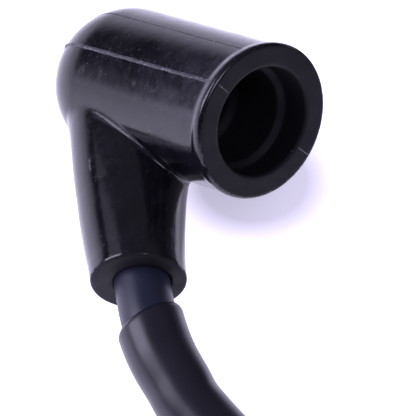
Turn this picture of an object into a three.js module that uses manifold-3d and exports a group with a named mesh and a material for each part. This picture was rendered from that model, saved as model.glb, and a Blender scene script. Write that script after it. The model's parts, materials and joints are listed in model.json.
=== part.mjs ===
// Flywheel-magneto ignition coil for a small engine: a potted coil and trigger module on a laminated
// core, a high-tension lead in a protective sleeve, and an angled rubber boot for the spark plug.
// Millimetres, +Z up. The origin is under the middle of the module, on the surface it lies on.
import * as THREE from "three";
import { mergeVertices } from "three/addons/utils/BufferGeometryUtils.js";
import Module from "manifold-3d";

// ---------------------------------------------------------------- driving dimensions
const GAP = 0.3; // room between a cut or turned piece and its neighbour
const FIT = 0.1; // room between pieces that are set square to each other

// Core: U-shaped plates, stacked along Z, whose legs point along +X to the flywheel.
const PLATES = 10;
const PLATE_PITCH = 1.0;
const PLATE_THICKNESS = 0.95;
const CORE_BOTTOM = 9;
const LEG_WIDTH = 10;
const LEG_A = -13; // Y of the leg that carries the windings
const LEG_B = 22; // Y of the bare leg
const YOKE_BACK = -25;
const YOKE_WIDTH = 12;
const POLE_TIP = 25;
const FLYWHEEL_RADIUS = 52;
const EAR_END = 35.5;
const SLOT_Y = 29.5;
const SLOT_WIDTH = 5.2;
const SLOT_LENGTH = 8;

const RIVET_RADIUS = 1.5;
const RIVET_HEAD_RADIUS = 2.8;
const RIVET_HEAD = 1.2;

// Housing: a cup, open at the top, around leg A.
const HOUSING = { x0: -12.5, x1: 15.5, y0: -31, y1: 8, top: 28, wall: 1.8, corner: 3 };
const LEAD_X = 1;
const LEAD_Z = 9;
const LEAD_HOLE_RADIUS = 3.9;
const BOSS_RADIUS = 6.5;
const BOSS_END = -35.5;
const BOSS_CHAMFER = 1;
const POTTING_TOP = 27.2;

// Windings, square in section around leg A: inner and outer sides of each square.
const PRIMARY_BOBBIN = { inner: 10.6, outer: 12.2, flange: 16.6 };
const PRIMARY_WINDING = { inner: 12.4, outer: 16.2 };
const SECONDARY_BOBBIN = { inner: 17, outer: 18.4, flange: 24 };
const SECONDARY_WINDING = { inner: 18.6, outer: 23.4 };
const FLANGE = 1;

// Spade terminal for the stop switch, and the earth strap to the core.
const SPADE = {
  width: 6.3,
  thickness: 0.8,
  y: -20,
  z: 23.4,
  tip: -21.5,
  shoulder: -14.5, // where the thinner root starts, which runs into the housing
  rootWidth: 5,
  rootThickness: 0.6,
  chamfer: 1.2,
  holeRadius: 0.9,
  holeInset: 4,
};
const STRAP = { width: 4, thickness: 0.5, y: 4, rim: 0.4 };

// Spike that the lead is pushed onto.
const SPIKE = { flange: 2.2, flangeThickness: 0.6, radius: 0.55, length: 5, point: 0.8 };

// Lead.
const LEAD_RADIUS = 3.5;
const LEAD_BORE = 0.9;
const CONDUCTOR_RADIUS = 0.6;
const CONDUCTOR_START = 7; // from the lead's end in the boot, past the contact spring's tail
const CONDUCTOR_END = 5; // from the lead's end in the module, past the spike
const SLEEVE_RADIUS = 4.3;
const SLEEVE_BORE = 3.9;
const SLEEVE_BARE = 5.5; // lead left bare beside the boot
const GROMMET_TIP = -52;
const GROMMET = {
  collar: 6.1,
  collarLength: 1.6,
  base: 5.5,
  taper: 0.06, // radius lost per millimetre
  grooves: [4.5, 7.5, 10.5],
  grooveWidth: 1.4,
  grooveDepth: 0.5,
  tip: 4.4,
};

// Boot: a barrel over the plug and a neck over the lead, which meet at an acute angle.
const NECK_END = new THREE.Vector3(-72.02, -63.2, 8.16);
const NECK_TURN = 1.6; // degrees from -Y towards +X
const NECK_TILT = -4.3; // degrees above level
const NECK_LENGTH = 31;
const NECK_ROOT_RADIUS = 9.2; // on the barrel's axis
const NECK_KNEE_RADIUS = 6.96; // where the steep taper ends
const NECK_TIP_RADIUS = 5.8;
const NECK_ROOT_FLATNESS = 0.685; // height over width of the neck's section on the barrel's axis
const NECK_BEND = 0.75; // the neck's middle bows out towards -X
const BARREL_TURN = 45.4;
const BARREL_TILT = 25.4;
const BARREL_LENGTH = 36;
const BARREL_RADIUS = 10.15;
const BARREL_FRONT_RADIUS = 9.7;
const MOUTH_TURN = 41.3; // the mouth is cut a little askew of the barrel
const MOUTH_TILT = 21.6;
const MOUTH_RADIUS = 10;
const MOUTH_DEPTH = 25.2; // from the neck's axis to the mouth
const SOCKET_RADIUS = 6.97; // at the mouth, where the plug's hexagon ends
const SOCKET_LIP = 6.1; // the band that grips the plug's porcelain
const SOCKET_CAVITY = 5.2; // room for the contact spring
const SOCKET_LIP_START = 4;
const SOCKET_LIP_END = 13;
const SOCKET_END = 28;
const LEAD_INSERTION = 21;

// The lead's centreline, from its end in the boot to its end in the module.
const ROUTE = [
  [-72.6, -42.3, 9.7],
  [-72.4, -48.0, 9.3],
  [-72.3, -54.0, 8.9],
  [-72.15, -59.0, 8.5],
  [-71.5, -64.0, 8.05],
  [-70.6, -68.8, 7.6],
  [-69.2, -73.1, 6.9],
  [-67.1, -77.1, 6.1],
  [-64.9, -80.8, 5.4],
  [-58.6, -87.8, 4.6],
  [-50.0, -93.2, 4.36],
  [-40.1, -96.0, 4.36],
  [-30.0, -96.0, 4.36],
  [-20.4, -93.2, 4.4],
  [-11.9, -87.9, 4.8],
  [-5.2, -80.5, 5.7],
  [-0.8, -71.5, 7.0],
  [0.9, -61.6, 8.2],
  [1.0, -54.0, 8.8],
  [1.0, -46.0, 9.0],
  [1.0, -36.0, 9.0],
  [1.0, -27.3, 9.0],
];

// ---------------------------------------------------------------- solids
const wasm = await Module();
wasm.setup();

function toSolid(geometry) {
  const bare = geometry.clone();
  bare.deleteAttribute("normal");
  bare.deleteAttribute("uv");
  const merged = mergeVertices(bare, 1e-4);
  return new wasm.Manifold(
    new wasm.Mesh({
      numProp: 3,
      vertProperties: merged.attributes.position.array,
      triVerts: new Uint32Array(merged.index.array),
    }),
  );
}

function toGeometry(solid) {
  const mesh = solid.getMesh();
  const geometry = new THREE.BufferGeometry();
  geometry.setAttribute("position", new THREE.BufferAttribute(mesh.vertProperties, 3));
  geometry.setIndex(new THREE.BufferAttribute(mesh.triVerts, 1));
  geometry.computeVertexNormals();
  return geometry;
}

function cut(body, ...tools) {
  return toGeometry(tools.reduce((rest, tool) => rest.subtract(toSolid(tool)), toSolid(body)));
}

function join(body, ...others) {
  return toGeometry(others.reduce((sum, other) => sum.add(toSolid(other)), toSolid(body)));
}

// ---------------------------------------------------------------- shapes
const UP = new THREE.Vector3(0, 0, 1);

function block(x0, x1, y0, y1, z0, z1) {
  const box = new THREE.BoxGeometry(x1 - x0, y1 - y0, z1 - z0);
  return box.translate((x0 + x1) / 2, (y0 + y1) / 2, (z0 + z1) / 2);
}

function roundedRectangle(x0, x1, y0, y1, radius) {
  const shape = new THREE.Shape();
  shape.absarc(x1 - radius, y1 - radius, radius, 0, Math.PI / 2);
  shape.absarc(x0 + radius, y1 - radius, radius, Math.PI / 2, Math.PI);
  shape.absarc(x0 + radius, y0 + radius, radius, Math.PI, 1.5 * Math.PI);
  shape.absarc(x1 - radius, y0 + radius, radius, 1.5 * Math.PI, 2 * Math.PI);
  return shape;
}

function circle(x, y, radius) {
  return new THREE.Shape().absarc(x, y, radius, 0, 2 * Math.PI);
}

// A shape in the XY plane, made solid from z0 to z1.
function slab(shape, z0, z1, curveSegments = 4) {
  const options = { depth: z1 - z0, bevelEnabled: false, curveSegments };
  return new THREE.ExtrudeGeometry(shape, options).translate(0, 0, z0);
}

// A shape whose x and y are Y and Z, made solid from x0 to x1.
function beam(shape, x0, x1, curveSegments = 2) {
  const turn = new THREE.Matrix4().makeBasis(
    new THREE.Vector3(0, 1, 0),
    new THREE.Vector3(0, 0, 1),
    new THREE.Vector3(1, 0, 0),
  );
  return slab(shape, x0, x1, curveSegments).applyMatrix4(turn);
}

// A profile of [radius, height] points that starts and ends on the axis, turned about local +Y.
function turned(profile, segments) {
  return new THREE.LatheGeometry(
    profile.map(([radius, height]) => new THREE.Vector2(radius, height)),
    segments,
  );
}

// A plain round bar along local +Y.
function rod(radius, length, segments) {
  return turned([[0, 0], [radius, 0], [radius, length], [0, length]], segments);
}

// A turned solid, stood at a place with its local +Y along a direction.
function aim(geometry, place, direction) {
  const turn = new THREE.Quaternion().setFromUnitVectors(new THREE.Vector3(0, 1, 0), direction);
  return geometry.applyQuaternion(turn).translate(place.x, place.y, place.z);
}

function heading(turnDegrees, tiltDegrees) {
  const turn = THREE.MathUtils.degToRad(turnDegrees);
  const tilt = THREE.MathUtils.degToRad(tiltDegrees);
  return new THREE.Vector3(
    Math.sin(turn) * Math.cos(tilt),
    -Math.cos(turn) * Math.cos(tilt),
    Math.sin(tilt),
  );
}

// ---------------------------------------------------------------- the assembly
const coil = new THREE.Group();
coil.name = "ignition_coil";

function add(name, geometry, color, roughness, metalness) {
  const mesh = new THREE.Mesh(
    geometry,
    new THREE.MeshStandardMaterial({ color, roughness, metalness }),
  );
  mesh.name = name;
  coil.add(mesh);
}

const STEEL = [0x8c8f93, 0.5, 0.9];
const BRASS = [0xb59a5a, 0.35, 1];
const TIN = [0xb9bbbd, 0.35, 1];
const COPPER = [0x9c4f27, 0.4, 0.9];
const BLACK_PLASTIC = [0x1b1c1f, 0.55, 0];
const RUBBER = [0x1a1a20, 0.3, 0];

// ---------------------------------------------------------------- core
const YOKE_FRONT = YOKE_BACK + YOKE_WIDTH;
const SLOT_X = (YOKE_BACK + YOKE_FRONT) / 2;
const CORE_TOP = CORE_BOTTOM + (PLATES - 1) * PLATE_PITCH + PLATE_THICKNESS;
const CORE_MIDDLE = (CORE_BOTTOM + CORE_TOP) / 2;
const RIVET_PLACES = [
  { x: SLOT_X, y: LEG_A, grip: 0 },
  { x: SLOT_X, y: STRAP.y, grip: STRAP.thickness + FIT },
  { x: 14, y: LEG_B, grip: 0 },
];

function slotShape(x, y) {
  const half = (SLOT_LENGTH - SLOT_WIDTH) / 2;
  const slot = new THREE.Path();
  slot.absarc(x + half, y, SLOT_WIDTH / 2, -Math.PI / 2, Math.PI / 2);
  slot.absarc(x - half, y, SLOT_WIDTH / 2, Math.PI / 2, 1.5 * Math.PI);
  return slot;
}

function plateShape() {
  const half = LEG_WIDTH / 2;
  const middle = (LEG_A + LEG_B) / 2;
  const reach = LEG_B + half - middle; // from the middle to a leg's outer side
  const pull = (LEG_B - half - middle) ** 2; // inner side's offset, squared
  const flywheel = POLE_TIP + Math.sqrt(FLYWHEEL_RADIUS ** 2 - reach ** 2);
  const inner = flywheel - Math.sqrt(FLYWHEEL_RADIUS ** 2 - pull);
  const corner = YOKE_WIDTH / 2;
  const outerTurn = Math.asin(reach / FLYWHEEL_RADIUS);
  const innerTurn = Math.asin(Math.sqrt(pull) / FLYWHEEL_RADIUS);
  const plate = new THREE.Shape();
  plate.moveTo(YOKE_FRONT, LEG_B + half);
  plate.lineTo(YOKE_FRONT, EAR_END - corner);
  plate.absarc(SLOT_X, EAR_END - corner, corner, 0, Math.PI);
  plate.absarc(SLOT_X, -EAR_END + corner, corner, Math.PI, 2 * Math.PI);
  plate.lineTo(YOKE_FRONT, LEG_A - half);
  plate.lineTo(POLE_TIP, LEG_A - half);
  plate.absarc(flywheel, middle, FLYWHEEL_RADIUS, Math.PI + outerTurn, Math.PI + innerTurn, true);
  plate.lineTo(inner, LEG_A + half);
  plate.lineTo(YOKE_FRONT, LEG_A + half);
  plate.lineTo(YOKE_FRONT, LEG_B - half);
  plate.lineTo(inner, LEG_B - half);
  plate.absarc(flywheel, middle, FLYWHEEL_RADIUS, Math.PI - innerTurn, Math.PI - outerTurn, true);
  plate.lineTo(POLE_TIP, LEG_B + half);
  plate.holes.push(slotShape(SLOT_X, SLOT_Y), slotShape(SLOT_X, -SLOT_Y));
  for (const { x, y } of RIVET_PLACES) plate.holes.push(circle(x, y, RIVET_RADIUS + FIT));
  return plate;
}

function makeCore() {
  const shape = plateShape();
  for (let i = 0; i < PLATES; i++) {
    const z = CORE_BOTTOM + i * PLATE_PITCH;
    const name = "core_plate_" + String(i + 1).padStart(2, "0");
    add(name, slab(shape, z, z + PLATE_THICKNESS), ...STEEL);
  }
}

function makeRivets() {
  RIVET_PLACES.forEach(({ x, y, grip }, i) => {
    const low = CORE_BOTTOM - FIT / 2;
    const high = CORE_TOP + grip + FIT / 2;
    const profile = [
      [0, low - RIVET_HEAD],
      [RIVET_HEAD_RADIUS * 0.6, low - RIVET_HEAD],
      [RIVET_HEAD_RADIUS, low - RIVET_HEAD * 0.3],
      [RIVET_HEAD_RADIUS, low],
      [RIVET_RADIUS, low],
      [RIVET_RADIUS, high],
      [RIVET_HEAD_RADIUS, high],
      [RIVET_HEAD_RADIUS, high + RIVET_HEAD * 0.3],
      [RIVET_HEAD_RADIUS * 0.6, high + RIVET_HEAD],
      [0, high + RIVET_HEAD],
    ];
    const rivet = turned(profile, 12);
    add("core_rivet_" + (i + 1), aim(rivet, new THREE.Vector3(x, y, 0), UP), ...TIN);
  });
}

// ---------------------------------------------------------------- housing
const INSIDE = {
  x0: HOUSING.x0 + HOUSING.wall,
  x1: HOUSING.x1 - HOUSING.wall,
  y0: HOUSING.y0 + HOUSING.wall,
  y1: HOUSING.y1 - HOUSING.wall,
  floor: HOUSING.wall,
};
const LEAD_AXIS = new THREE.Vector3(0, -1, 0); // out of the module

function makeHousing() {
  const { x0, x1, y0, y1, top, wall, corner } = HOUSING;
  const shell = slab(roundedRectangle(x0, x1, y0, y1, corner), 0, top);
  const cavity = slab(
    roundedRectangle(INSIDE.x0, INSIDE.x1, INSIDE.y0, INSIDE.y1, corner - wall),
    INSIDE.floor,
    top + 1,
  );
  const bossLength = y0 + wall / 2 - BOSS_END;
  const bossProfile = [
    [0, 0],
    [BOSS_RADIUS, 0],
    [BOSS_RADIUS, bossLength - BOSS_CHAMFER],
    [BOSS_RADIUS - BOSS_CHAMFER, bossLength],
    [0, bossLength],
  ];
  const boss = turned(bossProfile, 28);
  const leadHole = rod(LEAD_HOLE_RADIUS, INSIDE.y0 - BOSS_END + 2, 24);
  const half = LEG_WIDTH / 2 + GAP;
  const coreTunnel = block(x0 - 1, x1 + 1, LEG_A - half, LEG_A + half, CORE_BOTTOM - GAP, CORE_TOP + GAP);
  const spadeSlot = block(
    x0 - 1,
    INSIDE.x0 + 1,
    SPADE.y - SPADE.rootWidth / 2 - FIT,
    SPADE.y + SPADE.rootWidth / 2 + FIT,
    SPADE.z,
    SPADE.z + SPADE.thickness,
  );
  const strapSlot = block(
    x0 - 1,
    INSIDE.x0 + 1,
    STRAP.y - STRAP.width / 2 - GAP,
    STRAP.y + STRAP.width / 2 + GAP,
    CORE_TOP,
    CORE_TOP + STRAP.thickness + 2 * FIT,
  );
  const bossPlace = new THREE.Vector3(LEAD_X, y0 + wall / 2, LEAD_Z);
  const holePlace = new THREE.Vector3(LEAD_X, INSIDE.y0 + 1, LEAD_Z);
  const walls = join(shell, aim(boss, bossPlace, LEAD_AXIS));
  const body = cut(walls, cavity, aim(leadHole, holePlace, LEAD_AXIS), coreTunnel, spadeSlot, strapSlot);
  add("coil_housing", body, ...BLACK_PLASTIC);
}

// A square tube around leg A.
function squareTube(inner, outer, x0, x1, corner) {
  const square = (side) => {
    const half = side / 2;
    return roundedRectangle(LEG_A - half, LEG_A + half, CORE_MIDDLE - half, CORE_MIDDLE + half, corner);
  };
  const shape = square(outer);
  shape.holes.push(square(inner));
  return beam(shape, x0, x1);
}

const WOUND = { x0: INSIDE.x0 + GAP, x1: INSIDE.x1 - GAP };

function makeBobbin(name, { inner, outer, flange }) {
  const { x0, x1 } = WOUND;
  const tube = squareTube(inner, outer, x0, x1, 0.6);
  const flanges = [x0, x1 - FLANGE].map((x) => squareTube(inner, flange, x, x + FLANGE, 0.6));
  add(name, join(tube, ...flanges), 0xc9bfa2, 0.5, 0);
}

function makeWinding(name, { inner, outer }) {
  const tube = squareTube(inner, outer, WOUND.x0 + FLANGE + FIT, WOUND.x1 - FLANGE - FIT, 0.9);
  add(name, tube, ...COPPER);
}

// ---------------------------------------------------------------- trigger circuit
const CIRCUIT = { x0: -8, x1: 11, y0: 4.6, y1: 5.8, z0: 4, z1: 22 };
const CAPACITOR = { x0: 0, x1: 10, depth: 3.6, z0: 12.5, z1: 21 };
const THYRISTOR = { x: -5, radius: 2.2, flat: 1.2, z0: 13, z1: 18 };
const DIODE = { x: 1, z: 7, radius: 1.3, length: 5 };
const RESISTOR = { x: -5, z: 5.5, waist: 1, radius: 1.2, cap: 1.5, length: 6 };

function makeCircuit() {
  const { x0, x1, y0, y1, z0, z1 } = CIRCUIT;
  add("circuit_board", block(x0, x1, y0, y1, z0, z1), 0x6b7a3a, 0.5, 0);
  const face = y0 - FIT;
  const { x0: left, x1: right, depth, z0: low, z1: high } = CAPACITOR;
  add("charge_capacitor", block(left, right, face - depth, face, low, high), 0x9a3d1e, 0.4, 0);
  const { x, radius, flat } = THYRISTOR;
  const thyristor = new THREE.Shape();
  thyristor.moveTo(x + radius, face);
  thyristor.lineTo(x + radius, face - flat);
  thyristor.absarc(x, face - flat, radius, 0, -Math.PI, true);
  thyristor.lineTo(x - radius, face);
  add("trigger_thyristor", slab(thyristor, THYRISTOR.z0, THYRISTOR.z1), 0x18181a, 0.4, 0);
  const diodePlace = new THREE.Vector3(DIODE.x, face - DIODE.radius - FIT, DIODE.z);
  const diode = aim(rod(DIODE.radius, DIODE.length, 16), diodePlace, new THREE.Vector3(1, 0, 0));
  add("charge_diode", diode, 0x222226, 0.4, 0);
  const resistorProfile = [
    [0, 0],
    [RESISTOR.radius, 0],
    [RESISTOR.waist, RESISTOR.cap],
    [RESISTOR.waist, RESISTOR.length - RESISTOR.cap],
    [RESISTOR.radius, RESISTOR.length],
    [0, RESISTOR.length],
  ];
  const resistorPlace = new THREE.Vector3(RESISTOR.x, face - RESISTOR.radius - FIT, RESISTOR.z);
  const resistor = aim(turned(resistorProfile, 16), resistorPlace, UP);
  add("trigger_resistor", resistor, 0xb9a57c, 0.5, 0);
}

// ---------------------------------------------------------------- potting
function makePotting() {
  const fill = slab(
    roundedRectangle(INSIDE.x0 + FIT, INSIDE.x1 - FIT, INSIDE.y0 + FIT, INSIDE.y1 - FIT, 1.2),
    INSIDE.floor + FIT,
    POTTING_TOP,
  );
  const reach = SECONDARY_BOBBIN.flange / 2 + FIT;
  const windings = block(
    INSIDE.x0 - 1,
    INSIDE.x1 + 1,
    LEG_A - reach,
    LEG_A + reach,
    0,
    CORE_MIDDLE + reach,
  );
  const circuit = block(
    CIRCUIT.x0 - 0.5,
    CIRCUIT.x1 + 0.5,
    LEG_A + reach - 1,
    CIRCUIT.y1 + 0.2,
    0,
    CIRCUIT.z1 + 0.5,
  );
  const room = LEAD_HOLE_RADIUS + GAP;
  const leadEnd = block(LEAD_X - room, LEAD_X + room, INSIDE.y0 - 1, LEG_A - reach + 1, 0, LEAD_Z + room);
  add("potting_resin", cut(fill, windings, circuit, leadEnd), 0x2a2a2c, 0.6, 0);
}

// ---------------------------------------------------------------- terminals
function makeSpade() {
  const { width, thickness, y, z, tip, shoulder, rootWidth, rootThickness, chamfer } = SPADE;
  const blade = new THREE.Shape();
  blade.moveTo(shoulder, y - width / 2);
  blade.lineTo(shoulder, y + width / 2);
  blade.lineTo(tip + 1, y + width / 2);
  blade.lineTo(tip, y + width / 2 - chamfer);
  blade.lineTo(tip, y - width / 2 + chamfer);
  blade.lineTo(tip + 1, y - width / 2);
  blade.holes.push(circle(tip + SPADE.holeInset, y, SPADE.holeRadius));
  const recess = (thickness - rootThickness) / 2;
  const root = block(
    shoulder - 1,
    INSIDE.x0 - FIT,
    y - rootWidth / 2,
    y + rootWidth / 2,
    z + recess,
    z + thickness - recess,
  );
  add("stop_terminal", join(slab(blade, z, z + thickness), root), ...TIN);
}

function makeStrap() {
  const z = CORE_TOP + FIT / 2;
  const half = STRAP.width / 2;
  const strip = new THREE.Shape();
  const ring = RIVET_HEAD_RADIUS + STRAP.rim;
  const meeting = Math.asin(half / ring);
  strip.absarc(SLOT_X, STRAP.y, ring, meeting, 2 * Math.PI - meeting);
  strip.lineTo(INSIDE.x0 - FIT, STRAP.y - half);
  strip.lineTo(INSIDE.x0 - FIT, STRAP.y + half);
  strip.holes.push(circle(SLOT_X, STRAP.y, RIVET_RADIUS + FIT));
  add("earth_strap", slab(strip, z, z + STRAP.thickness), ...TIN);
}

function makeLeadSpike() {
  const start = LEG_A - SECONDARY_BOBBIN.flange / 2 - FIT;
  const { flange, flangeThickness, radius, length, point } = SPIKE;
  const profile = [
    [0, 0],
    [flange, 0],
    [flange, flangeThickness],
    [radius, flangeThickness],
    [radius, length - point],
    [0, length],
  ];
  const spike = turned(profile, 16);
  add("lead_spike", aim(spike, new THREE.Vector3(LEAD_X, start, LEAD_Z), LEAD_AXIS), ...BRASS);
}

// ---------------------------------------------------------------- lead
const ROUTE_CURVE = new THREE.CatmullRomCurve3(ROUTE.map((point) => new THREE.Vector3(...point)));
const ROUTE_LENGTH = ROUTE_CURVE.getLength();

// The stretch of the lead's centreline between two distances from its end in the boot.
function stretch(from, to) {
  const points = [];
  const count = 48;
  for (let i = 0; i <= count; i++) {
    const distance = from + ((to - from) * i) / count;
    points.push(ROUTE_CURVE.getPointAt(distance / ROUTE_LENGTH));
  }
  return new THREE.CatmullRomCurve3(points);
}

function polygon(radius, sides) {
  const corners = [];
  for (let i = 0; i < sides; i++) {
    const angle = ((i + 0.5) * 2 * Math.PI) / sides;
    corners.push(new THREE.Vector2(radius * Math.cos(angle), radius * Math.sin(angle)));
  }
  return corners;
}

function tube(path, steps, radius, sides, boreRadius = 0, boreSides = 8) {
  const section = new THREE.Shape(polygon(radius, sides));
  if (boreRadius) section.holes.push(new THREE.Path(polygon(boreRadius, boreSides)));
  return new THREE.ExtrudeGeometry(section, { extrudePath: path, steps, bevelEnabled: false });
}

function makeLead() {
  const steps = 36;
  const insulation = tube(stretch(0, ROUTE_LENGTH), steps, LEAD_RADIUS, 10, LEAD_BORE, 6);
  add("lead_insulation", insulation, 0x34363e, 0.4, 0);
  const core = stretch(CONDUCTOR_START, ROUTE_LENGTH - CONDUCTOR_END);
  const conductor = tube(core, steps, CONDUCTOR_RADIUS, 6);
  add("lead_conductor", conductor, ...TIN);
  const sleeveStart = LEAD_INSERTION + SLEEVE_BARE;
  const leadEnd = ROUTE[ROUTE.length - 1][1];
  const sleeveEnd = ROUTE_LENGTH - (leadEnd - GROMMET_TIP) - 1; // 1 mm short of the grommet
  const sleeve = tube(stretch(sleeveStart, sleeveEnd), 30, SLEEVE_RADIUS, 10, SLEEVE_BORE, 10);
  add("lead_sleeve", sleeve, 0x2c2d33, 0.45, 0);
}

function makeGrommet() {
  const base = new THREE.Vector3(LEAD_X, BOSS_END - FIT, LEAD_Z);
  const length = BOSS_END - FIT - GROMMET_TIP;
  const bore = LEAD_RADIUS + GAP;
  const outside = (along) => GROMMET.base - GROMMET.taper * along;
  const profile = [
    [bore, 0],
    [GROMMET.collar, 0],
    [GROMMET.collar, GROMMET.collarLength],
    [outside(0), GROMMET.collarLength + 0.4],
  ];
  for (const start of GROMMET.grooves) {
    const end = start + GROMMET.grooveWidth;
    const floor = outside(start) - GROMMET.grooveDepth;
    profile.push([outside(start), start], [floor, start + GAP], [floor, end - GAP], [outside(end), end]);
  }
  profile.push([outside(length - 1), length - 1], [GROMMET.tip, length]);
  profile.push([bore + 0.2, length], [bore, length - 0.3], [bore, 0]);
  add("lead_grommet", aim(turned(profile, 18), base, LEAD_AXIS), ...RUBBER);
}

// ---------------------------------------------------------------- boot
const NECK_AXIS = heading(NECK_TURN, NECK_TILT);
const BARREL_AXIS = heading(BARREL_TURN, BARREL_TILT);
const MOUTH_AXIS = heading(MOUTH_TURN, MOUTH_TILT);
const CROSSING = NECK_END.clone().addScaledVector(NECK_AXIS, -NECK_LENGTH);
const MOUTH = CROSSING.clone().addScaledVector(BARREL_AXIS, MOUTH_DEPTH);

// Barrel profiles run along the barrel's axis from the mouth, which is at 0, back to -BARREL_LENGTH.
function barrelOutside() {
  const domeStart = BARREL_RADIUS - BARREL_LENGTH;
  const profile = [];
  for (let i = 0; i <= 7; i++) {
    const angle = ((i / 7) * Math.PI) / 2;
    profile.push([BARREL_RADIUS * Math.sin(angle), domeStart - BARREL_RADIUS * Math.cos(angle)]);
  }
  profile[0][0] = 0;
  profile.push([BARREL_FRONT_RADIUS, -2.4], [MOUTH_RADIUS, -1.2], [MOUTH_RADIUS, -0.5]);
  profile.push([MOUTH_RADIUS - 0.15, -0.15], [MOUTH_RADIUS - 0.5, 0], [0, 0]);
  return turned(profile, 36);
}

function barrelInside() {
  const profile = [
    [0, -SOCKET_END],
    [SOCKET_CAVITY - 1, -SOCKET_END],
    [SOCKET_CAVITY, -SOCKET_END + 1],
    [SOCKET_CAVITY, -SOCKET_LIP_END],
    [SOCKET_LIP, -SOCKET_LIP_END + 1],
    [SOCKET_LIP, -SOCKET_LIP_START - 0.6],
    [SOCKET_RADIUS, -SOCKET_LIP_START],
    [SOCKET_RADIUS, -0.4],
    [SOCKET_RADIUS + 0.4, 0],
    [SOCKET_RADIUS + 0.4, 1],
    [0, 1],
  ];
  return turned(profile, 28);
}

// Slants the mouth end of a barrel that still lies along local +Y.
function slant(geometry) {
  const upright = new THREE.Quaternion().setFromUnitVectors(BARREL_AXIS, new THREE.Vector3(0, 1, 0));
  const normal = MOUTH_AXIS.clone().applyQuaternion(upright);
  const fade = 9;
  const place = geometry.attributes.position;
  for (let i = 0; i < place.count; i++) {
    const share = THREE.MathUtils.smoothstep(place.getY(i), -fade, -1);
    const rise = -(normal.x * place.getX(i) + normal.z * place.getZ(i)) / normal.y;
    place.setY(i, place.getY(i) + share * rise);
  }
  return geometry;
}

// Neck profiles run along the neck's axis from the crossing, at 0, to the end where the lead comes out.
function neckOutside() {
  const knee = 0.6 * NECK_LENGTH;
  const steps = 4;
  const profile = [[0, 0]];
  for (let i = 0; i <= steps; i++) {
    const share = i / steps;
    profile.push([NECK_ROOT_RADIUS + (NECK_KNEE_RADIUS - NECK_ROOT_RADIUS) * share, knee * share]);
  }
  profile.push([6.5, 0.76 * NECK_LENGTH], [6.05, NECK_LENGTH - 3], [NECK_TIP_RADIUS, NECK_LENGTH - 1.4]);
  profile.push([NECK_TIP_RADIUS - 0.5, NECK_LENGTH - 0.4], [NECK_TIP_RADIUS - 1, NECK_LENGTH]);
  profile.push([0, NECK_LENGTH]);
  return turned(profile, 28);
}

// Shapes a neck that stands in its place: its section is flatter towards the root, and it bows
// sideways, most in the middle and not at all at its ends.
function shapeNeck(geometry) {
  const place = geometry.attributes.position;
  const point = new THREE.Vector3();
  const up = UP.clone().addScaledVector(NECK_AXIS, -NECK_AXIS.z).normalize();
  for (let i = 0; i < place.count; i++) {
    point.fromBufferAttribute(place, i).sub(CROSSING);
    const along = THREE.MathUtils.clamp(point.dot(NECK_AXIS) / NECK_LENGTH, 0, 1);
    const flatness = NECK_ROOT_FLATNESS + (1 - NECK_ROOT_FLATNESS) * Math.min(1, along / 0.93);
    point.addScaledVector(up, point.dot(up) * (flatness - 1)).add(CROSSING);
    place.setXYZ(i, point.x - NECK_BEND * Math.sin(Math.PI * along ** 1.3), point.y, point.z);
  }
  return geometry;
}

function leadChannel() {
  const stop = NECK_LENGTH - LEAD_INSERTION - GAP;
  const radius = LEAD_RADIUS + GAP;
  const passage = 2; // for the contact spring's tail
  const flare = 0.7;
  const profile = [
    [0, 0],
    [passage, 0],
    [passage, stop],
    [radius, stop],
    [radius, NECK_LENGTH - 6],
    [radius + flare, NECK_LENGTH],
    [radius + flare, NECK_LENGTH + 1],
    [0, NECK_LENGTH + 1],
  ];
  return turned(profile, 20);
}

function makeBoot() {
  const outside = join(
    aim(slant(barrelOutside()), MOUTH, BARREL_AXIS),
    shapeNeck(aim(neckOutside(), CROSSING, NECK_AXIS)),
  );
  const socket = aim(slant(barrelInside()), MOUTH, BARREL_AXIS);
  const boot = cut(outside, socket, aim(leadChannel(), CROSSING, NECK_AXIS));
  add("plug_boot", boot, ...RUBBER);
}

// Wire coil that grips the plug's terminal, with a straight tail into the lead's core.
const SPRING = { turns: 6, pitch: 1.35, radius: 4, wire: 0.45, depth: 14, tail: [7, 9, 11, 13.5] };

function makeContactSpring() {
  const perTurn = 16;
  const side = NECK_AXIS.clone().addScaledVector(BARREL_AXIS, -NECK_AXIS.dot(BARREL_AXIS)).normalize();
  const across = new THREE.Vector3().crossVectors(BARREL_AXIS, side);
  const points = [];
  for (let i = 0; i <= SPRING.turns * perTurn; i++) {
    const angle = (i / perTurn) * 2 * Math.PI;
    const depth = SPRING.depth + (SPRING.pitch * i) / perTurn;
    const point = MOUTH.clone().addScaledVector(BARREL_AXIS, -depth);
    point.addScaledVector(side, SPRING.radius * Math.cos(angle));
    points.push(point.addScaledVector(across, SPRING.radius * Math.sin(angle)));
  }
  for (const distance of SPRING.tail) {
    points.push(CROSSING.clone().addScaledVector(NECK_AXIS, distance));
  }
  const wire = tube(new THREE.CatmullRomCurve3(points), 100, SPRING.wire, 5);
  add("contact_spring", wire, ...TIN);
}

makeCore();
makeRivets();
makeHousing();
makeBobbin("primary_bobbin", PRIMARY_BOBBIN);
makeWinding("primary_winding", PRIMARY_WINDING);
makeBobbin("secondary_bobbin", SECONDARY_BOBBIN);
makeWinding("secondary_winding", SECONDARY_WINDING);
makeCircuit();
makePotting();
makeSpade();
makeStrap();
makeLeadSpike();
makeLead();
makeGrommet();
makeBoot();
makeContactSpring();

export default coil;
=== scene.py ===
# Looks of a small-engine ignition coil: plug boot, lead, sleeve and coil module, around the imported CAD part.
import json
import math

import bpy
import numpy as np
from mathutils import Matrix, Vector
from numpy.linalg import norm


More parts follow.
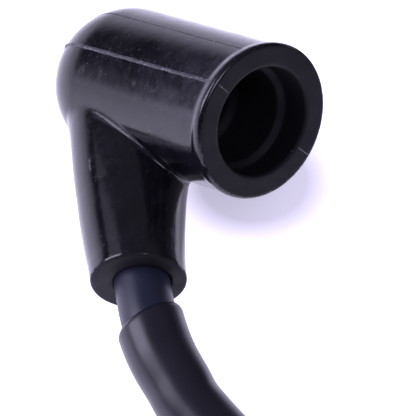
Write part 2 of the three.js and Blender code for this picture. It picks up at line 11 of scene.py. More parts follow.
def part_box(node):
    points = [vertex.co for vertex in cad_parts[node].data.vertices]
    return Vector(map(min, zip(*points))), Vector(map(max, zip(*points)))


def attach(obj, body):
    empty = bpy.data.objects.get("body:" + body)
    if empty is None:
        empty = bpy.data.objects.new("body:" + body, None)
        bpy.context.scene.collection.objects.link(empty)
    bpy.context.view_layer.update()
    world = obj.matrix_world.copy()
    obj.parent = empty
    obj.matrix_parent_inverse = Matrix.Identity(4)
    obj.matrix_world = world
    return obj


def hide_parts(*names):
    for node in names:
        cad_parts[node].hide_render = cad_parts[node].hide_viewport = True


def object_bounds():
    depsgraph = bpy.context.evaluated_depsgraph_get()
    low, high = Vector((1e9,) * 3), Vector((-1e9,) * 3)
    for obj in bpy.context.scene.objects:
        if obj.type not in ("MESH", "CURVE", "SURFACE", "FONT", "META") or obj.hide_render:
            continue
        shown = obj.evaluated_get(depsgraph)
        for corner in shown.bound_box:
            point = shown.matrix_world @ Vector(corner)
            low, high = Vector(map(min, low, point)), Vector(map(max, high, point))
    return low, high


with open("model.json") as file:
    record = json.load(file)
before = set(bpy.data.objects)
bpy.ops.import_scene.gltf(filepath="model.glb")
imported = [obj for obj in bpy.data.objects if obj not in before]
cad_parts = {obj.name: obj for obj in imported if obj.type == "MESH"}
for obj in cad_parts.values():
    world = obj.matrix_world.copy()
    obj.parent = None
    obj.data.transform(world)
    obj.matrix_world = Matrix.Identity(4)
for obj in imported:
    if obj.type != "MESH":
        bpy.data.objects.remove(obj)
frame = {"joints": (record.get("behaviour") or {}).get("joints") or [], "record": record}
cad_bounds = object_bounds()

MM = 0.001  # pieces are worked out in millimetres and written in metres
JOINT = frame["joints"][0]
MOUNTS = {mount["name"]: mount for mount in frame["record"]["mounts"]}


def unit(vector):
    return np.asarray(vector, float) / norm(vector)


def heading(turn_degrees, tilt_degrees):
    """Direction that turns from -Y towards +X, and tilts up from level."""
    turn = math.radians(turn_degrees)
    tilt = math.radians(tilt_degrees)
    level = math.cos(tilt)
    return np.array([math.sin(turn) * level, -math.cos(turn) * level, math.sin(tilt)])


def spoke(degrees, up, side):
    """Unit vector at an angle from up towards side."""
    angle = math.radians(degrees)
    return math.cos(angle) * up + math.sin(angle) * side


def upright(axis):
    """Directions across an axis: the one that points most upwards, and the one beside it."""
    up = unit(np.array([0, 0, 1]) - axis * axis[2])
    return up, np.cross(axis, up)


def along_and_across(offset, axis):
    """Distances along an axis and away from it."""
    along = offset @ axis
    return along, norm(offset - along[:, None] * axis, axis=1)


def even_angles(count):
    return np.arange(count) * 2 * math.pi / count


def smoothstep(value, low, high):
    share = np.clip((value - low) / (high - low), 0, 1)
    return share * share * (3 - 2 * share)


def node_box(node):
    """Lowest and highest corner of a CAD node, in millimetres."""
    low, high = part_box(node)
    return np.array(low) / MM, np.array(high) / MM


def placed(name, data):
    """A new object in the scene."""
    item = bpy.data.objects.new(name, data)
    bpy.context.scene.collection.objects.link(item)
    return item


# ---- camera
NECK_END = np.array(JOINT["pos_m"]) / MM
CAMERA_PLACE = np.array([-63.48, -254.77, 250.84])
CAMERA_PITCH = 40  # degrees from straight down
CAMERA_LENS = 216.35


def make_camera():
    data = bpy.data.cameras.new("camera")
    data.lens = CAMERA_LENS
    data.sensor_width = 36
    data.clip_start = 0.01
    camera = placed("camera", data)
    camera.location = CAMERA_PLACE * MM
    camera.rotation_euler = (math.radians(CAMERA_PITCH), 0, 0)
    bpy.context.scene.camera = camera


# ---- meshes
def mesh_object(name, points, faces, material):
    """An object from points in millimetres."""
    mesh = bpy.data.meshes.new(name)
    mesh.from_pydata((np.asarray(points) * MM).tolist(), [], faces)
    mesh.validate()
    mesh.polygons.foreach_set("use_smooth", [True] * len(mesh.polygons))
    mesh.materials.append(material)
    mesh.update()
    return placed(name, mesh)


def finished(piece, body, slot, *nodes):
    """Puts a piece on its body and hides the CAD nodes that it stands for. Its slot is not used."""
    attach(piece, body)
    if nodes:
        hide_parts(*nodes)
    return piece


def waves(points, wavelength, seed, count=7):
    """Smooth random field from about -1 to 1, made of plane waves in seeded directions."""
    draw = np.random.default_rng(seed)
    total = np.zeros(len(points))
    for _ in range(count):
        direction = unit(draw.normal(size=3)) * draw.uniform(0.7, 1.4)
        total += np.sin(points @ direction * (2 * math.pi / wavelength) + draw.uniform(0, 2 * math.pi))
    return total / math.sqrt(count)


def round_max(a, b, radius):
    """Intersection of two solids' fields, with their common edge rounded."""
    a = a + radius
    b = b + radius
    return np.minimum(np.maximum(a, b), 0) + np.hypot(np.maximum(a, 0), np.maximum(b, 0)) - radius


def smooth_min(a, b, width):
    """Union of two solids' fields, with a fillet where they meet."""
    share = np.maximum(width - np.abs(a - b), 0) / width
    return np.minimum(a, b) - share * share * width / 4


def surface_net(values):
    """Points in grid units and quads of the surface where a grid of values changes sign."""
    inside = values < 0
    cells = tuple(count - 1 for count in values.shape)
    total = np.zeros(cells + (3,), np.float32)
    count = np.zeros(cells, np.float32)
    crossings = []
    for axis in range(3):
        near = tuple(slice(0, -1) if i == axis else slice(None) for i in range(3))
        far = tuple(slice(1, None) if i == axis else slice(None) for i in range(3))
        crossing = inside[near] != inside[far]
        gap = np.where(crossing, values[near] - values[far], 1)
        share = np.where(crossing, values[near] / gap, 0)
        crossings.append((crossing, inside[near]))
        first, second = [i for i in range(3) if i != axis]
        for i in (0, 1):
            for j in (0, 1):
                part = [slice(None)] * 3
                part[first] = slice(i, i + cells[first])
                part[second] = slice(j, j + cells[second])
                here = crossing[tuple(part)]
                count += here
                total[..., axis] += share[tuple(part)]
                total[..., first] += here * i
                total[..., second] += here * j
    used = np.nonzero(count)
    number = np.full(cells, -1, np.int64)
    number[used] = np.arange(len(used[0]))
    points = np.stack(used, 1) + total[used] / count[used][:, None]
    quads = []
    for axis, (crossing, near_inside) in enumerate(crossings):
        first, second = [i for i in range(3) if i != axis]
        at = np.array(np.nonzero(crossing)).T
        keep = (at[:, first] > 0) & (at[:, second] > 0)
        keep &= (at[:, first] < cells[first]) & (at[:, second] < cells[second])
        at = at[keep]
        back = np.zeros((4, 3), int)
        back[:, [first, second]] = [[1, 1], [0, 1], [0, 0], [1, 0]]
        ring = number[tuple(np.moveaxis(at[:, None] - back, 2, 0))]
        outward = near_inside[tuple(at.T)] ^ (axis == 1)
        quads.append(np.where(outward[:, None], ring, ring[:, ::-1]))
    return points, np.concatenate(quads)


def surface_step(field, points, reach):
    """Moves that bring points onto the surface of a field, and the field's slopes there."""
    value = field(points)
    slope = np.stack([field(points + reach * axis) - value for axis in np.eye(3)], 1) / reach
    return -value[:, None] * slope / np.maximum((slope ** 2).sum(1), 0.2)[:, None], slope


GRID_MARGIN = 1.63  # steps round a piece: not a whole number, so that no flat face lies in the grid's planes


def moulded(name, field, node, step, material):
    """A closed piece from a distance field in millimetres, on a grid round a CAD node's box. Its points
    are then drawn onto the exact surface."""
    step = step
    low, high = node_box(node)
    low = low - GRID_MARGIN * step
    counts = np.ceil((high + 2 * step - low) / step).astype(int) + 1
    grid = np.indices(counts).reshape(3, -1).T * step + low
    values = np.concatenate([field(part) for part in np.array_split(grid, 8)])
    points, quads = surface_net(values.reshape(counts))
    points = points * step + low
    for _ in range(3):
        move = surface_step(field, points, 0.04 * step)[0]
        length = norm(move, axis=1)[:, None]
        points = points + move * np.minimum(1, step / np.maximum(length, 1e-9))
    return mesh_object(name, points, quads.tolist(), material)


def ring_frame(path):
    """Unit tangents, sides and ups along a path, without twist."""
    tangents = np.gradient(path, axis=0)
    tangents /= norm(tangents, axis=1)[:, None]
    up = np.array([0, 0, 1.0])
    ups = []
    for tangent in tangents:
        up = unit(up - tangent * (up @ tangent))
        ups.append(up)
    ups = np.array(ups)
    return tangents, np.cross(ups, tangents), ups


def band(here, there, sides):
    """Quads between two rings of points: here and there are the numbers of each ring's first point."""
    corners = [(j, (j + 1) % sides) for j in range(sides)]
    return [[here + j, here + k, there + k, there + j] for j, k in corners]


def swept(name, path, section, sides, material, slant=0):
    """A closed solid swept along a path: section is a closed run of (radius, path index) rings.
    The first end is cut askew: its -side stands back by slant."""
    tangent, side, up = ring_frame(path)
    angles = even_angles(sides)
    rows = []
    for radius, at in section:
        spokes = np.outer(np.cos(angles), side[at]) + np.outer(np.sin(angles), up[at])
        lag = slant * (0.5 - 0.5 * np.cos(angles)) * max(0, 1 - at / 10)
        rows.append(path[at] + spokes * np.reshape(radius, (-1, 1)) + np.outer(lag, tangent[at]))
    points = np.concatenate(rows)
    faces = []
    for i in range(len(section)):
        faces += band(i * sides, (i + 1) % len(section) * sides, sides)
    return mesh_object(name, points, faces, material)


def round_bar(name, path, radius, sides, material):
    """A bar of round wire along a path, with domed ends."""
    _, side, up = ring_frame(path)
    angles = even_angles(sides)
    shares = np.ones(len(path))
    shares[:3] = shares[:-4:-1] = [0.3, 0.75, 0.95]
    around = np.cos(angles)[:, None] * side[:, None] + np.sin(angles)[:, None] * up[:, None]
    points = (path[:, None] + radius * shares[:, None, None] * around).reshape(-1, 3)
    faces = [list(range(sides))[::-1], list(range(len(points) - sides, len(points)))]
    for i in range(len(path) - 1):
        faces += band(i * sides, (i + 1) * sides, sides)
    return mesh_object(name, points, faces, material)


def spline(points, spacing):
    """A Catmull-Rom curve through points, at even distances."""
    knots = np.vstack([2 * points[0] - points[1], points, 2 * points[-1] - points[-2]])
    fine = []
    for a, b, c, d in zip(knots, knots[1:], knots[2:], knots[3:]):
        share = np.linspace(0, 1, 60, endpoint=False)[:, None]
        curve = 2 * b + (c - a) * share + (2 * a - 5 * b + 4 * c - d) * share ** 2
        fine.append(0.5 * (curve + (3 * b - a - 3 * c + d) * share ** 3))
    fine = np.vstack(fine + [points[-1:]])
    run = np.concatenate([[0], np.cumsum(norm(np.diff(fine, axis=0), axis=1))])
    even = np.linspace(0, run[-1], int(round(run[-1] / spacing)) + 1)
    return np.stack([np.interp(even, run, fine[:, i]) for i in range(3)], 1)


# ---- materials
def add_node(tree, kind, inputs=None, **settings):
    """A shader node with its settings. An input is a value, or the socket that it is linked from."""
    node = tree.nodes.new(kind)
    for key, value in settings.items():
        setattr(node, key, value)
    for key, value in (inputs or {}).items():
        if isinstance(value, bpy.types.NodeSocket):
            tree.links.new(value, node.inputs[key])
        else:
            node.inputs[key].default_value = value
    return node


class Surface:
    """A procedural material, built up on its Principled shader from noise in the object's own space."""

    def __init__(self, name, base, **sockets):
        self.material = bpy.data.materials.new(name)
        self.material.use_nodes = True
        self.tree = self.material.node_tree
        self.shader = self.tree.nodes["Principled BSDF"]
        self.colour = (*base, 1)  # or the socket that gives it, once there is one
        self.shader.inputs["Base Color"].default_value = self.colour
        for socket, value in sockets.items():
            self.shader.inputs[socket.replace("_", " ")].default_value = value
        self.place = self.add("ShaderNodeTexCoord").outputs["Object"]

    def add(self, kind, inputs=None, **settings):
        return add_node(self.tree, kind, inputs, **settings)

    def link(self, output, socket):
        self.tree.links.new(output, self.shader.inputs[socket])

    def noise(self, size, detail=3, rough=0.55, stretch=(1, 1, 1)):
        """Noise from 0 to 1 whose features are size metres across."""
        place = self.place
        if stretch != (1, 1, 1):
            place = self.add("ShaderNodeMapping", {"Vector": place, "Scale": stretch}).outputs[0]
        inputs = {"Vector": place, "Scale": 1 / size, "Detail": detail, "Roughness": rough}
        return self.add("ShaderNodeTexNoise", inputs).outputs["Fac"]

    def spread(self, source, low, high, to_low=0.0, to_high=1.0):
        inputs = {"Value": source, "From Min": low, "From Max": high, "To Min": to_low, "To Max": to_high}
        return self.add("ShaderNodeMapRange", inputs).outputs[0]

    def times(self, a, b):
        return self.add("ShaderNodeMath", {0: a, 1: b}, operation="MULTIPLY").outputs[0]

    def roughen(self, size, low, high, detail=4, edges=(0.3, 0.7)):
        """Roughness that wanders between two values, over patches of that size."""
        self.link(self.spread(self.noise(size, detail), *edges, low, high), "Roughness")

    def patches(self, source, low, high, amount, colour):
        """Lays up to that amount of a colour where a noise runs from low to high."""
        self.tint(self.spread(source, low, high, 0, amount), colour)

    def tint(self, mask, colour):
        """Lays a colour over what is there, where mask is 1."""
        mix = self.add("ShaderNodeMix", {0: mask, 6: self.colour, 7: (*colour, 1)}, data_type="RGBA")
        self.colour = mix.outputs[2]
        self.link(self.colour, "Base Color")

    def bump(self, height, distance):
        """Adds relief that is distance metres high."""
        bump = self.add("ShaderNodeBump", {"Height": height, "Distance": distance, "Strength": 1})
        normal = self.shader.inputs["Normal"]
        if normal.is_linked:
            self.tree.links.new(normal.links[0].from_socket, bump.inputs["Normal"])
        self.link(bump.outputs[0], "Normal")

    def grain(self, size, detail, distance):
        self.bump(self.noise(size, detail), distance)


def moulded_rubber():
    """Glossy black rubber with moulding haze, fine grain, and dust that gathers beside the seams."""
    skin = Surface("moulded_rubber", (0.0046, 0.0043, 0.0068), IOR=1.5)
    haze = skin.spread(skin.noise(0.006, 4), 0.35, 0.7, 0.1, 0.17)
    rubbed = skin.spread(skin.noise(0.0011, 5, 0.7), 0.5, 0.72, 0, 0.16)
    skin.link(skin.add("ShaderNodeMath", {0: haze, 1: rubbed}).outputs[0], "Roughness")
    skin.grain(0.005, 2, 0.00004)
    skin.grain(0.0005, 3, 0.000007)
    skin.patches(skin.noise(0.0035, 6, 0.7), 0.42, 0.66, 1, (0.0095, 0.009, 0.0135))
    skin.patches(skin.noise(0.0004, 1), 0.75, 0.79, 0.8, (0.12, 0.12, 0.14))
    scuffs = skin.noise(0.0006, 5, 0.7, (1, 0.25, 0.6))
    skin.patches(scuffs, 0.56, 0.72, 0.35, (0.028, 0.027, 0.034))
    # paler grey patches over the top of the barrel near the mouth
    pale_top = skin.add("ShaderNodeAttribute", attribute_name="pale_top").outputs["Fac"]
    patchy = skin.spread(skin.noise(0.003, 5, 0.65), 0.35, 0.65, 0.25, 1)
    skin.patches(skin.times(pale_top, patchy), 0, 1, 0.6, (0.07, 0.067, 0.083))
    seam = skin.add("ShaderNodeAttribute", attribute_name="seam").outputs["Fac"]
    crumbs = skin.spread(skin.noise(0.00045, 4, 0.7), 0.52, 0.68)
    skin.patches(skin.times(seam, crumbs), 0, 1, 0.7, (0.085, 0.082, 0.1))
    return skin.material


def dull_rubber():
    """The mouth's face and bore, which came off a matt part of the mould."""
    skin = Surface("dull_rubber", (0.0085, 0.008, 0.0105), Specular_IOR_Level=0.2)
    skin.roughen(0.003, 0.52, 0.68, edges=(0.35, 0.7))
    skin.grain(0.0004, 3, 0.000012)
    skin.patches(skin.noise(0.0005, 1), 0.78, 0.81, 0.5, (0.1, 0.1, 0.12))
    return skin.material


def flash_and_glint_rubber():
    """Pale, dull, scuffed and dusty flash where the mould's halves met, and a painted highlight on the crease.
    """
    skin = Surface("flash_and_glint_rubber", (0.05, 0.049, 0.062), Roughness=0.42)
    crumbs = skin.noise(0.0004, 2)
    skin.patches(crumbs, 0.58, 0.68, 1, (0.24, 0.24, 0.28))
    skin.patches(skin.noise(0.0025, 3), 0.5, 0.7, 0.7, (0.09, 0.09, 0.11))
    skin.bump(crumbs, 0.00003)
    return skin.material


def lead_jacket():
    """Smooth extruded lead, faintly uneven."""
    skin = Surface("lead_jacket", (0.015, 0.0178, 0.04))
    skin.roughen(0.004, 0.34, 0.46)
    skin.grain(0.0007, 3, 0.000008)
    return skin.material


def sleeve_vinyl():
    """Flexible vinyl tube: satin, with soft dents."""
    skin = Surface("sleeve_vinyl", (0.0125, 0.0128, 0.021))
    skin.roughen(0.005, 0.28, 0.38)
    skin.grain(0.009, 2, 0.00006)
    skin.grain(0.0005, 3, 0.000006)
    return skin.material


def spring_wire():
    """Bright spring wire, a little tarnished."""
    skin = Surface("spring_wire", (0.5, 0.49, 0.47), Metallic=1)
    skin.roughen(0.002, 0.2, 0.4, 3)
    skin.patches(skin.noise(0.003, 3), 0.55, 0.75, 0.6, (0.3, 0.27, 0.22))
    return skin.material


def grommet_rubber():
    """Matt black rubber, with chalky bloom in places."""
    skin = Surface("grommet_rubber", (0.012, 0.012, 0.013))
    skin.roughen(0.003, 0.5, 0.75)
    skin.patches(skin.noise(0.002, 5), 0.58, 0.8, 0.5, (0.05, 0.05, 0.055))
    skin.grain(0.0004, 3, 0.00001)
    return skin.material


def housing_plastic():
    """Glass-filled black nylon: fine texture from the mould, and faint flow marks."""
    skin = Surface("housing_plastic", (0.014, 0.0142, 0.016))
    flow = skin.noise(0.006, 4, stretch=(1, 1, 0.3))
    skin.link(skin.spread(flow, 0.3, 0.7, 0.38, 0.58), "Roughness")
    skin.patches(skin.noise(0.0003, 1), 0.7, 0.78, 0.5, (0.05, 0.05, 0.055))
    skin.grain(0.00035, 3, 0.00003)
    return skin.material


def potting_resin():
    """Black epoxy that has set glossy, with soft ripples and a dusty film."""
    skin = Surface("potting_resin", (0.006, 0.006, 0.0075))
    skin.roughen(0.004, 0.08, 0.3, edges=(0.35, 0.7))
    skin.patches(skin.noise(0.0005, 3), 0.64, 0.75, 0.5, (0.06, 0.06, 0.07))
    skin.grain(0.005, 2, 0.00012)
    return skin.material


def core_steel():
    """Silicon steel sheet: grey rolled grain, blued patches, and rust at places."""
    skin = Surface("core_steel", (0.2, 0.21, 0.225), Metallic=1)
    grain = skin.noise(0.0009, 4, stretch=(1, 0.06, 1))
    skin.link(skin.spread(grain, 0.3, 0.7, 0.34, 0.56), "Roughness")
    skin.patches(skin.noise(0.009, 3), 0.45, 0.7, 0.6, (0.12, 0.14, 0.19))
    skin.patches(skin.noise(0.0035, 6, 0.65), 0.62, 0.74, 0.75, (0.13, 0.055, 0.025))
    skin.bump(grain, 0.00001)
    return skin.material


def plated_steel():
    """Zinc plate, with cloudy crystals."""
    skin = Surface("plated_steel", (0.55, 0.56, 0.57), Metallic=1)
    skin.roughen(0.0012, 0.26, 0.46)
    skin.patches(skin.noise(0.0022, 4), 0.5, 0.72, 0.6, (0.36, 0.35, 0.31))
    skin.grain(0.0006, 3, 0.000015)
    return skin.material


def tinned_brass():
    """Tin plate over brass, worn through here and there."""
    skin = Surface("tinned_brass", (0.62, 0.62, 0.6), Metallic=1)
    skin.roughen(0.0015, 0.24, 0.45)
    skin.patches(skin.noise(0.0025, 5), 0.6, 0.72, 0.8, (0.55, 0.38, 0.14))
    skin.bump(skin.noise(0.0007, 3, stretch=(0.2, 1, 1)), 0.000012)
    return skin.material


def bare_brass():
    skin = Surface("bare_brass", (0.62, 0.42, 0.15), Metallic=1)
    skin.roughen(0.0012, 0.22, 0.42)
    skin.patches(skin.noise(0.002, 4), 0.55, 0.75, 0.7, (0.28, 0.15, 0.06))
    return skin.material


def stranded_copper():
    """Fine copper strands, tinned in places."""
    skin = Surface("stranded_copper", (0.66, 0.6, 0.54), Metallic=1)
    strands = skin.noise(0.0006, 2)
    skin.link(skin.spread(strands, 0.3, 0.7, 0.22, 0.45), "Roughness")
    skin.patches(strands, 0.5, 0.7, 0.6, (0.6, 0.3, 0.17))
    skin.bump(strands, 0.00005)
    return skin.material


def enamelled_copper(name, turn):
    """Turns of enamelled wire round X, side by side, each as wide as turn metres."""
    skin = Surface(name, (0.45, 0.14, 0.05), Metallic=0.8, Coat_Weight=0.6)
    inputs = {"Vector": skin.place, "Scale": 1 / turn * math.pi / 10, "Distortion": 0.4, "Detail": 1}
    turns = skin.add("ShaderNodeTexWave", inputs, bands_direction="X").outputs["Fac"]
    # darker in the grooves between the turns: painted shade
    skin.tint(skin.spread(turns, 0.0, 0.45, 0.8, 0), (0.1, 0.03, 0.012))
    skin.roughen(0.003, 0.18, 0.36)
    skin.bump(turns, turn * 0.4)
    return skin.material


def bobbin_plastic():
    """Natural nylon, yellowed in patches."""
    skin = Surface("bobbin_plastic", (0.5, 0.45, 0.34))
    skin.patches(skin.noise(0.005, 4), 0.42, 0.7, 1, (0.4, 0.33, 0.2))
    skin.roughen(0.002, 0.38, 0.55, 3)
    skin.grain(0.0005, 3, 0.00001)
    return skin.material


def circuit_laminate():
    """Green lacquer, paler where copper lies under it."""
    skin = Surface("circuit_laminate", (0.014, 0.1, 0.035))
    inputs = {"Vector": skin.place, "Scale": 420}
    tracks = skin.add("ShaderNodeTexVoronoi", inputs, feature="DISTANCE_TO_EDGE").outputs["Distance"]
    skin.patches(tracks, 0.2, 0.23, 1, (0.03, 0.19, 0.07))
    skin.roughen(0.003, 0.24, 0.42, 3)
    skin.grain(0.0006, 2, 0.000015)
    return skin.material


def component_epoxy():
    """Moulded black epoxy of a thyristor, a diode or a resistor, with a sandy face."""
    skin = Surface("component_epoxy", (0.02, 0.02, 0.022))
    skin.patches(skin.noise(0.0006, 4), 0.5, 0.75, 1, (0.04, 0.04, 0.045))
    skin.roughen(0.001, 0.42, 0.62, 3)
    skin.grain(0.0003, 3, 0.00002)
    return skin.material


def capacitor_lacquer():
    """Brown dipped lacquer, uneven in thickness."""
    skin = Surface("capacitor_lacquer", (0.26, 0.07, 0.018))
    skin.patches(skin.noise(0.004, 3), 0.45, 0.75, 1, (0.17, 0.04, 0.012))
    skin.roughen(0.002, 0.14, 0.32, 3)
    skin.grain(0.0022, 2, 0.00008)
    return skin.material


def finish_node(material, *nodes):
    """Gives CAD nodes a material in place of their own."""
    for name in nodes:
        for slot in bpy.data.objects[name].material_slots:
            slot.material = material


# ---- lead and sleeve
LEAD_RADIUS = 3.5
LEAD_BORE = 0.9
SLEEVE_RADIUS = 4.28
SLEEVE_BORE = 3.85
SLEEVE_START = 26  # along the route
SLEEVE_SLANT = 2  # how far one side of its cut end stands back
SLEEVE_SHORT = 25.7  # of the route's end
ROUTE = np.array([
    [-0.0726, -0.0423, 0.0097],
    [-0.0724, -0.0480, 0.0093],
    [-0.0723, -0.0540, 0.0089],
    [-0.07215, -0.0590, 0.0085],
    [-0.0715, -0.0640, 0.00805],
    [-0.0706, -0.0688, 0.0076],
    [-0.0692, -0.0731, 0.0069],
    [-0.0671, -0.0771, 0.0061],
    [-0.0649, -0.0808, 0.0054],
    [-0.0586, -0.0878, 0.0046],
    [-0.0500, -0.0932, 0.00436],
    [-0.0401, -0.0960, 0.00436],
    [-0.0300, -0.0960, 0.00436],
    [-0.0204, -0.0932, 0.0044],
    [-0.0119, -0.0879, 0.0048],
    [-0.0052, -0.0805, 0.0057],
    [-0.0008, -0.0715, 0.0070],
    [0.0009, -0.0616, 0.0082],
    [0.0010, -0.0540, 0.0088],
    [0.0010, -0.0460, 0.0090],
    [0.0010, -0.0360, 0.0090],
    [0.0010, -0.0273, 0.0090],
]) / MM
PATH_STEP = 0.5
PATH = spline(ROUTE, PATH_STEP)


def tube_section(path, outer, inner, rounding):
    """Rings of a thick tube whose ends are rounded: outside forwards, then the bore back."""
    last = len(path) - 1
    rings = [(outer[i], i) for i in range(len(path))]
    rings[0] = (outer[0] - rounding, 0)
    rings[-1] = (outer[-1] - rounding, last)
    bore = [(inner, i) for i in range(last, -1, -4)]
    if bore[-1][1]:
        bore.append((inner, 0))
    return rings + bore


def make_lead():
    outer = np.full(len(PATH), LEAD_RADIUS)
    lead = swept("lead", PATH, tube_section(PATH, outer, LEAD_BORE, 0.3), 48, lead_jacket())
    return finished(lead, "module", "lead_jacket", "lead_insulation")


def make_sleeve():
    path = PATH[int(SLEEVE_START / PATH_STEP): len(PATH) - int(SLEEVE_SHORT / PATH_STEP)]
    along = np.arange(len(path)) * PATH_STEP
    outer = SLEEVE_RADIUS - 0.16 * smoothstep(along, 1, 14)
    sides = 64
    angles = even_angles(sides)
    section = []
    for radius, at in tube_section(path, outer, SLEEVE_BORE, 0.16):
        oval = 0.03 * np.cos(2 * angles + along[at] / 9) * smoothstep(along[at], 0, 20)
        section.append((radius + (oval if radius > SLEEVE_BORE else 0), at))
    sleeve = swept("sleeve", path, section, sides, sleeve_vinyl(), SLEEVE_SLANT)
    return finished(sleeve, "module", "sleeve_pvc", "lead_sleeve")


# ---- plug boot
NECK_AXIS = unit(JOINT["axis"])  # from the crossing to the lead's end
NECK_LENGTH = 31
NECK_BEND = 0.75
BARREL_AXIS = heading(45.4, 25.4)  # out of the mouth
BARREL_RADIUS = 10.15
BARREL_FRONT = 9.7
DOME_DEPTH = 25.85
MOUTH_NORMAL = unit(MOUNTS["boot_mouth_face"]["axis"])
MOUTH_DEPTH = 25.2
MOUTH_RADIUS = 10
CROSSING = NECK_END - NECK_AXIS * NECK_LENGTH
MOUTH = CROSSING + BARREL_AXIS * MOUTH_DEPTH
SOCKET_DEPTHS = [0, 4.0, 4.5, 12, 13, 28]
SOCKET_RADII = [6.97, 6.97, 6.1, 6.1, 5.2, 5.2]
SOCKET_END = 28
NECK_PLACES = [0, 0.6, 0.77, 0.92, 1]  # shares of the neck's length
NECK_RADII = [9.2, 6.96, 6.5, 6.1, 6.0]
NECK_ROOT_FLATNESS = 0.685
LEAD_INSERTION = 21
LEAD_PLAY = 0.08
TAIL_PASSAGE = 2  # radius of the way for the spring's tail
LEAD_OFFSET = np.array([0.45, 0, -0.05])  # of the lead from the neck's axis, where it comes out
BARREL_UP, BARREL_SIDE = upright(BARREL_AXIS)
NECK_UP, NECK_SIDE = upright(NECK_AXIS)
FRONT_SIDE = unit(BARREL_AXIS - NECK_AXIS * (BARREL_AXIS @ NECK_AXIS))


def barrel_field(points):
    """The barrel with its dome, slanted mouth and thicker lip, without its socket."""
    offset = points - MOUTH
    along, radial = along_and_across(offset, BARREL_AXIS)
    beyond = offset @ MOUTH_NORMAL
    depth = -beyond / (BARREL_AXIS @ MOUTH_NORMAL)
    radius = np.interp(depth, [2.0, DOME_DEPTH], [BARREL_FRONT, BARREL_RADIUS])
    radius = radius + (MOUTH_RADIUS - BARREL_FRONT) * (1 - smoothstep(depth, 0.8, 2.1))
    dome = norm(offset + DOME_DEPTH * BARREL_AXIS, axis=1) - BARREL_RADIUS
    outside = np.where(-along > DOME_DEPTH, dome, radial - radius)
    return round_max(outside, beyond, 0.5), radial, along, depth


def neck_flatness(share):
    """Height over width of the neck's section, at a share of its length."""
    return NECK_ROOT_FLATNESS + (1 - NECK_ROOT_FLATNESS) * np.minimum(1, share / 0.93)


def neck_bow(share):
    """How far the neck's middle is bowed from its axis, at shares of its length."""
    return np.outer(NECK_BEND * np.sin(math.pi * share ** 1.3), [1, 0, 0])


def neck_field(points):
    """The neck, bowed a little to one side, with a rounded end."""
    offset = points - CROSSING
    along = offset @ NECK_AXIS
    share = np.clip(along / NECK_LENGTH, 0, 1)
    bowed = offset + neck_bow(share)
    across = bowed - along[:, None] * NECK_AXIS
    radial = np.hypot(across @ NECK_UP / neck_flatness(share), across @ NECK_SIDE)
    outside = radial - np.interp(share, NECK_PLACES, NECK_RADII)
    back = 0.5 - 0.5 * (across @ FRONT_SIDE) / np.maximum(norm(across, axis=1), 1e-6)
    return np.maximum(round_max(outside, along - NECK_LENGTH, 0.45), -along), along, back


def channel_field(points):
    """The passage for the lead, which leaves the neck's axis as the lead does, and a narrower one beyond."""
    offset = points - CROSSING
    along, radial = along_and_across(offset, NECK_AXIS)
    stop = NECK_LENGTH - LEAD_INSERTION - 0.3
    reach = smoothstep(along, stop, NECK_LENGTH)[:, None]
    shifted = offset - along[:, None] * NECK_AXIS - reach * LEAD_OFFSET
    bore = norm(shifted, axis=1) - LEAD_RADIUS - LEAD_PLAY
    return np.minimum(np.maximum(bore, stop - along), np.maximum(radial - TAIL_PASSAGE, -along))


def boot_field(points):
    """Barrel and neck with a fillet between them, widest at the back, less the socket and the passage."""
    barrel, radial, along, depth = barrel_field(points)
    neck, neck_along, back = neck_field(points)
    leaving = smoothstep(neck_along, 4, 9)
    body = smooth_min(barrel, neck, 0.2 + leaving * (0.45 + 2.4 * smoothstep(back, 0.72, 1)))
    socket = np.maximum(radial - np.interp(depth, SOCKET_DEPTHS, SOCKET_RADII), -along - SOCKET_END)
    body = round_max(body, -socket, 0.35)
    return round_max(body, -channel_field(points), 0.3)


def onto_boot(points):
    """Moves points that are near the boot's skin onto it, and gives the skin's normals there."""
    for _ in range(4):
        move, slope = surface_step(boot_field, points, 0.01)
        points = points + move
    return points, slope / norm(slope, axis=1)[:, None]


SEAM_STEP = 0.12  # between the points of a seam


def barrel_seam(degrees, start=0.4):
    """Points along the barrel from near the mouth to the top of its dome, at an angle about its axis."""
    out = spoke(degrees, BARREL_UP, BARREL_SIDE)
    straight = np.arange(start, DOME_DEPTH, SEAM_STEP)
    points = [MOUTH - BARREL_AXIS * depth + out * BARREL_RADIUS for depth in straight]
    for turn in np.linspace(0, math.pi / 2, 130):
        reach = math.sin(turn) * -BARREL_AXIS + math.cos(turn) * out
        points.append(MOUTH - BARREL_AXIS * DOME_DEPTH + reach * BARREL_RADIUS)
    return np.array(points)


def mouth_seam(degrees):
    """Points across the mouth's face, from the socket to the rim."""
    out = spoke(degrees, BARREL_UP, BARREL_SIDE)
    out = out - BARREL_AXIS * (out @ MOUTH_NORMAL) / (BARREL_AXIS @ MOUTH_NORMAL)
    return MOUTH + np.outer(np.arange(7.4, 9.6, 0.1), out)


def neck_seam(degrees, start, end):
    """Points along the neck at an angle about its axis, between two distances from the crossing."""
    angle = math.radians(degrees)
    along = np.arange(start, end, SEAM_STEP)
    share = along / NECK_LENGTH
    flatness = neck_flatness(share)
    radii = np.interp(share, NECK_PLACES, NECK_RADII) * flatness
    radii /= np.hypot(math.cos(angle), flatness * math.sin(angle))
    out = spoke(degrees, NECK_UP, NECK_SIDE)
    return CROSSING - neck_bow(share) + along[:, None] * NECK_AXIS + radii[:, None] * out


def crease_seam(start, end):
    """Points along the crease between barrel and neck, between two angles about the neck's axis."""
    points = []
    for degrees in np.arange(start, end, -0.8):
        line = neck_seam(degrees, 3, 20)
        value = barrel_field(line)[0]
        i = int(np.argmax(value > 0))
        share = value[i - 1] / (value[i - 1] - value[i])
        points.append(line[i - 1] + (line[i] - line[i - 1]) * share)
    return np.array(points)


